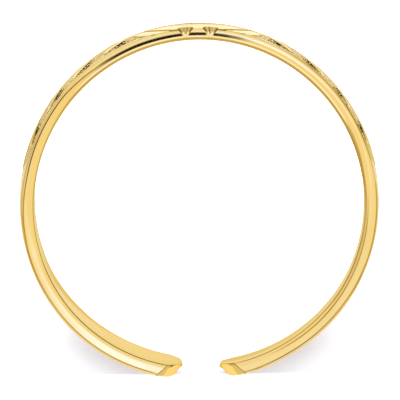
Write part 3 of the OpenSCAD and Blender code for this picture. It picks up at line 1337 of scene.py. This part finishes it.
@dataclass(frozen=True)
class Card:
    """A card or soft light of the studio, as a patch of the sky that the ring mirrors.

    Attributes:
        name: What it is.
        bearing: Its middle, clockwise from the crown, in degrees.
        half_w: Half of its width, in degrees of bearing.
        low: Its edge nearest to straight up, in degrees from there.
        high: Its edge farthest from straight up, in degrees from there.
        soft: Width of its soft edges, in degrees.
        hex: Its colour.
        strength: Its radiance, where plain white paper's is 1.
    """

    name: str
    bearing: float
    half_w: float
    low: float
    high: float
    soft: float
    hex: str
    strength: float


@dataclass(frozen=True)
class Studio:
    """White sweep, soft lights and a camera that looks along the toe's axis, a little above it."""

    sizes: RingSizes
    pixels: float = 400.0
    pixels_per_mm: float = 21.8
    ring_centre_px: tuple[float, float] = (199.5, 204.5)
    distance_mm: float = 420.0
    tilt_deg: float = 6.1
    roll_deg: float = 0.5
    sensor_mm: float = 36.0
    backdrop_hex: str = "FFFFFF"
    backdrop_strength: float = 1.1
    fill_strength: float = 0.4
    fill_hex: str = "E2EAFF"
    floor_hex: str = "FBFAFC"
    key_power: float = 0.48
    # Painted glow on the floor that only the gold's reflections see, by distance in front
    gold_floor: tuple[tuple[float, str, float], ...] = (
        (-9.0, "F6E4C0", 0.55),
        (-7.8, "ADC7FF", 0.6),
        (3.0, "B0C8FF", 0.62),
        (9.0, "8CA4FF", 2.2),
    )
    gold_rings_mm: tuple[tuple[float, float], ...] = ((7.22, 7.38), (8.45, 8.65))
    gold_ring_hex: str = "F2E4AE"
    # Painted glow on the floor that the camera sees, strongest where it hides the ring's shadow
    floor_glow: float = 0.39
    floor_glow_hex: str = "F0F4FF"
    hole_glow: float = 0.9
    front_glow_mm: tuple[float, float] = (-8.1, -8.3)
    back_glow_mm: tuple[float, float] = (-7.3, -3.6)
    cards: tuple[Card, ...] = (
        Card("tent_roof", 0, 200, -8, 60, 6, "FFFAF4", 1.05),
        Card("tent_wall", 0, 200, 56, 110, 8, "FFF6E6", 0.86),
        Card("dark_side", 267, 35, 32, 105, 8, "FFF2DC", 0.7),
        Card("front_seam", 45, 33, 72, 104, 6, "8A6420", 0.22),
        Card("left_seam", 310, 34, 76, 104, 6, "8A6420", 0.24),
        Card("right_seam", 95, 33, 80, 102, 5, "B08A3C", 0.3),
        Card("front_panel", 187, 47, 35, 54, 3, "B4C0FF", 2.6),
        Card("overhead", 0, 200, -6, 4.5, 3, "D8E0FF", 1.4),
        Card("top_panel", 10, 50, 2, 20, 5, "C0CCFF", 1.8),
        Card("side_panel", 268, 14, 10, 26, 4, "B4C0FF", 1.6),
        Card("front_roof", 172, 22, 7.5, 16, 4, "D4DAFF", 1.55),
        Card("left_panel", 195, 11, 7.5, 20, 4, "A4B0FF", 3.6),
        Card("camera_cloth", 172, 18.5, 18, 31, 2.5, "140E06", 0.3),
    )

    FLOOR_HALF_M = 1.0
    KEY_PLACE_MM = (0.0, 120.0, 310.0)
    KEY_SIZE_MM = 150.0

    def camera(self) -> bpy.types.Object:
        """Makes the camera.

        Returns:
            The scene's camera, aimed so that the upper rim is centred where the photograph has it.
        """
        tilt = math.radians(self.tilt_deg)
        back = Vector((0.0, math.sin(tilt), math.cos(tilt)))
        up = Vector((0.0, math.cos(tilt), -math.sin(tilt)))
        right = Vector((1.0, 0.0, 0.0))
        centre = self.pixels / 2
        aside = (centre - self.ring_centre_px[0]) / self.pixels_per_mm
        above = (self.ring_centre_px[1] - centre) / self.pixels_per_mm
        target = Vector((0.0, 0.0, self.sizes.width)) + right * aside + up * above
        roll = Matrix.Rotation(math.radians(self.roll_deg), 3, -back)
        frame = Matrix((right, up, back)).transposed()
        data = bpy.data.cameras.new("camera")
        data.sensor_width = self.sensor_mm
        data.lens = self.sensor_mm * self.distance_mm * self.pixels_per_mm / self.pixels
        data.clip_start = 0.01
        data.clip_end = 10.0
        camera = add_object("camera", data)
        place = (target + back * self.distance_mm) * MM
        camera.matrix_world = Matrix.Translation(place) @ (roll @ frame).to_4x4()
        bpy.context.scene.camera = camera
        return camera

    def floor(self) -> bpy.types.Object:
        """Makes the white floor."""
        mesh = bpy.data.meshes.new("floor")
        half = self.FLOOR_HALF_M
        corners = [(-half, -half, 0), (half, -half, 0), (half, half, 0), (-half, half, 0)]
        mesh.from_pydata(corners, [], [(0, 1, 2, 3)])
        mesh.materials.append(self.sweep())
        floor = add_object("floor", mesh)
        return floor

    def sweep(self) -> Material:
        """Makes the floor's white paper with painted glow, which the gold sees in other tints than
        the camera.
        """
        material = bpy.data.materials.new("white_sweep")
        tree = empty_tree(material)
        place = add_node(tree, "ShaderNodeTexCoord").outputs["Object"]
        away = add_node(tree, "ShaderNodeVectorMath", {0: place}, operation="LENGTH")
        front = add_node(tree, "ShaderNodeSeparateXYZ", {0: place}).outputs["Y"]
        stops = [y for y, _, _ in self.gold_floor]
        # The sweep gets painted glow in the hole, before the gap and behind, which hides the ring's
        # shadow there, and the gold sees painted rings and stops of other light on it
        spans = {
            "hole": (away, (self.sizes.crest_r, self.sizes.bore_r)),
            "front": (front, self.front_glow_mm),
            "back": (front, self.back_glow_mm),
            "in ring": (away, self.gold_rings_mm[0]),
            "past ring": (away, self.gold_rings_mm[1]),
            **{f"to {high}": (front, (low, high)) for low, high in zip(stops, stops[1:])},
        }
        fades = {}
        for name, (value, (low, high)) in spans.items():
            span = {"Value": value, "From Min": low * MM, "From Max": high * MM}
            fade = add_node(tree, "ShaderNodeMapRange", span, interpolation_type="SMOOTHSTEP")
            fades[name] = fade
        glow: float | Node = self.floor_glow
        for name in ("hole", "front", "back"):
            terms = {0: fades[name], 1: self.hole_glow, 2: glow}
            glow = add_node(tree, "ShaderNodeMath", terms, operation="MULTIPLY_ADD")
        paper = add_node(tree, "ShaderNodeBsdfDiffuse", {"Color": hex_to_linear(self.floor_hex)})
        light = {"Color": hex_to_linear(self.floor_glow_hex), "Strength": glow}
        painted_glow = add_node(tree, "ShaderNodeEmission", light)
        both = add_node(tree, "ShaderNodeAddShader", {0: paper, 1: painted_glow})
        # The gold mirrors a painted glow on the floor, cooler than the warm light it throws there
        # itself, and brightest behind the crown
        tint: Color | Node = hex_to_linear(*self.gold_floor[0][1:])
        for y, code, strength in self.gold_floor[1:]:
            tints = {"Factor": fades[f"to {y}"], "A": tint, "B": hex_to_linear(code, strength)}
            tint = add_node(tree, "ShaderNodeMix", tints, data_type="RGBA")
        reflected_glow = add_node(tree, "ShaderNodeEmission", {"Color": tint})
        dim = add_node(tree, "ShaderNodeAddShader", {0: paper, 1: reflected_glow})
        # Right beside the ring it sees a painted warm glow for the light that the gold itself
        # throws down
        edges = {0: fades["in ring"], 1: fades["past ring"]}
        ring = add_node(tree, "ShaderNodeMath", edges, operation="SUBTRACT")
        painted_bounce = add_node(tree, "ShaderNodeEmission", {"Color": hex_to_linear(self.gold_ring_hex)})
        dim = add_node(tree, "ShaderNodeMixShader", {0: ring, 1: dim, 2: painted_bounce})
        seen = add_node(tree, "ShaderNodeLightPath").outputs["Is Camera Ray"]
        shown = add_node(tree, "ShaderNodeMixShader", {0: seen, 1: dim, 2: both})
        add_node(tree, "ShaderNodeOutputMaterial", {"Surface": shown})
        return material

    def area_light(
        self, name: str, place: tuple[float, float, float], size: float, power: float
    ) -> bpy.types.Object:
        """Makes a soft light that points at the ring.

        Args:
            name: Name of the light.
            place: Where it stands, in millimetres.
            size: Side of its square, in millimetres.
            power: Power in watts.

        Returns:
            The light.
        """
        data = bpy.data.lights.new(name, "AREA")
        data.size = size * MM
        data.energy = power
        light = add_object(name, data)
        light.location = Vector(place) * MM
        light.rotation_euler = Vector(place).to_track_quat("Z", "Y").to_euler()
        light.visible_glossy = False
        return light

    def add_card(
        self, tree: Tree, card: Card, ray: dict[str, Node], behind: Color | Node
    ) -> Node:
        """Paints one card over what is behind it.

        Args:
            tree: The world's tree.
            card: The card.
            ray: Level direction and angle from straight up in which the ring looks.
            behind: Colour of the light behind the card, or the node that gives it.

        Returns:
            The node that gives the colour with the card in front.
        """
        bearing = math.radians(card.bearing)
        facing = {0: ray["level"], 1: (math.sin(bearing), math.cos(bearing), 0.0)}
        level = add_node(tree, "ShaderNodeVectorMath", facing, operation="DOT_PRODUCT")
        aside = add_node(tree, "ShaderNodeMath", {0: level}, operation="ARCCOSINE")
        middle = math.radians(card.low + card.high) / 2
        off = add_node(tree, "ShaderNodeMath", {0: ray["polar"], 1: middle}, operation="SUBTRACT")
        away = add_node(tree, "ShaderNodeMath", {0: off}, operation="ABSOLUTE")
        # A soft edge is as wide along the card as it is up it, whatever the card's height
        spread = card.soft / max(math.sin(abs(middle)), 0.1)
        masks = []
        for value, half, soft in (
            (aside, card.half_w, spread),
            (away, (card.high - card.low) / 2, card.soft),
        ):
            low, high = math.radians(half - soft / 2), math.radians(half + soft / 2)
            span = {"Value": value, "From Min": low, "From Max": high, "To Min": 1.0, "To Max": 0.0}
            mask = add_node(tree, "ShaderNodeMapRange", span, interpolation_type="SMOOTHSTEP")
            masks.append(mask)
        mask = add_node(tree, "ShaderNodeMath", dict(enumerate(masks)), operation="MULTIPLY")
        tints = {"Factor": mask, "A": behind, "B": hex_to_linear(card.hex, card.strength)}
        return add_node(tree, "ShaderNodeMix", tints, data_type="RGBA")

    def world(self) -> None:
        """Surrounds the ring with a light tent, whose cards only mirrors show."""
        world = bpy.data.worlds.new("light_tent")
        tree = empty_tree(world)
        look = add_node(tree, "ShaderNodeTexCoord").outputs["Generated"]
        axes = add_node(tree, "ShaderNodeSeparateXYZ", {0: look}).outputs
        flat = add_node(tree, "ShaderNodeCombineXYZ", {"X": axes["X"], "Y": axes["Y"]})
        ray = {
            "level": add_node(tree, "ShaderNodeVectorMath", {0: flat}, operation="NORMALIZE"),
            "polar": add_node(tree, "ShaderNodeMath", {0: axes["Z"]}, operation="ARCCOSINE"),
        }
        mirrored: Color | Node = hex_to_linear(self.backdrop_hex)
        for card in self.cards:
            mirrored = self.add_card(tree, card, ray, mirrored)
        path = add_node(tree, "ShaderNodeLightPath").outputs
        lights = {
            "Factor": path["Is Camera Ray"],
            "A": hex_to_linear(self.fill_hex, self.fill_strength),
            "B": hex_to_linear(self.backdrop_hex, self.backdrop_strength),
        }
        plain = add_node(tree, "ShaderNodeMix", lights, data_type="RGBA")
        skies = [
            add_node(tree, "ShaderNodeBackground", {"Color": color, "Strength": 1.0})
            for color in (plain, mirrored)
        ]
        mix = {0: path["Is Glossy Ray"], 1: skies[0], 2: skies[1]}
        sky = add_node(tree, "ShaderNodeMixShader", mix)
        add_node(tree, "ShaderNodeOutputWorld", {"Surface": sky})
        bpy.context.scene.world = world

    def build(self) -> None:
        """Makes the floor, the lights and the camera."""
        self.world()
        self.floor()
        self.area_light("key", self.KEY_PLACE_MM, self.KEY_SIZE_MM, self.key_power)
        self.camera()
        view = bpy.context.scene.view_settings
        view.view_transform = "Standard"
        view.look = "None"


def place_piece(mesh: Mesh, name: str, *materials: Material) -> bpy.types.Object:
    """Makes an object of a finished mesh and lets it ride with the ring.

    Args:
        mesh: Mesh in metres, in place.
        name: Name of the piece.
        materials: Its materials.

    Returns:
        The piece.
    """
    for material in materials:
        mesh.materials.append(material)
    piece = add_object(name, mesh)
    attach(piece, BODY)
    LOG.info("%s: %d faces", name, len(mesh.polygons))
    return piece


def main() -> None:
    """Builds the ring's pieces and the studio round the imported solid."""
    logging.basicConfig(level=logging.INFO, format="%(name)s: %(message)s")
    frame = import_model()
    sizes = RingSizes.from_frame(frame["record"])
    spring = Spring(sizes)
    gold = POLISHED_GOLD.material()
    shank = Shank(sizes, Relief(sizes)).build()
    spring.apply(shank)
    shank.shade_smooth()
    piece = place_piece(shank, "toe_ring_band", gold)
    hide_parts(NODE)
    bright_cut, punched = BRIGHT_CUT_GOLD.material(), PUNCHED_GOLD.material()
    for kind, finish in ((LeafSprays, bright_cut), (Stems, bright_cut), (PunchedGround, punched)):
        work = kind(sizes, finish)
        mesh = work.build()
        spring.apply(mesh)
        place_piece(mesh, work.name)
    Studio(sizes).build()


if __name__ == "__main__":
    main()
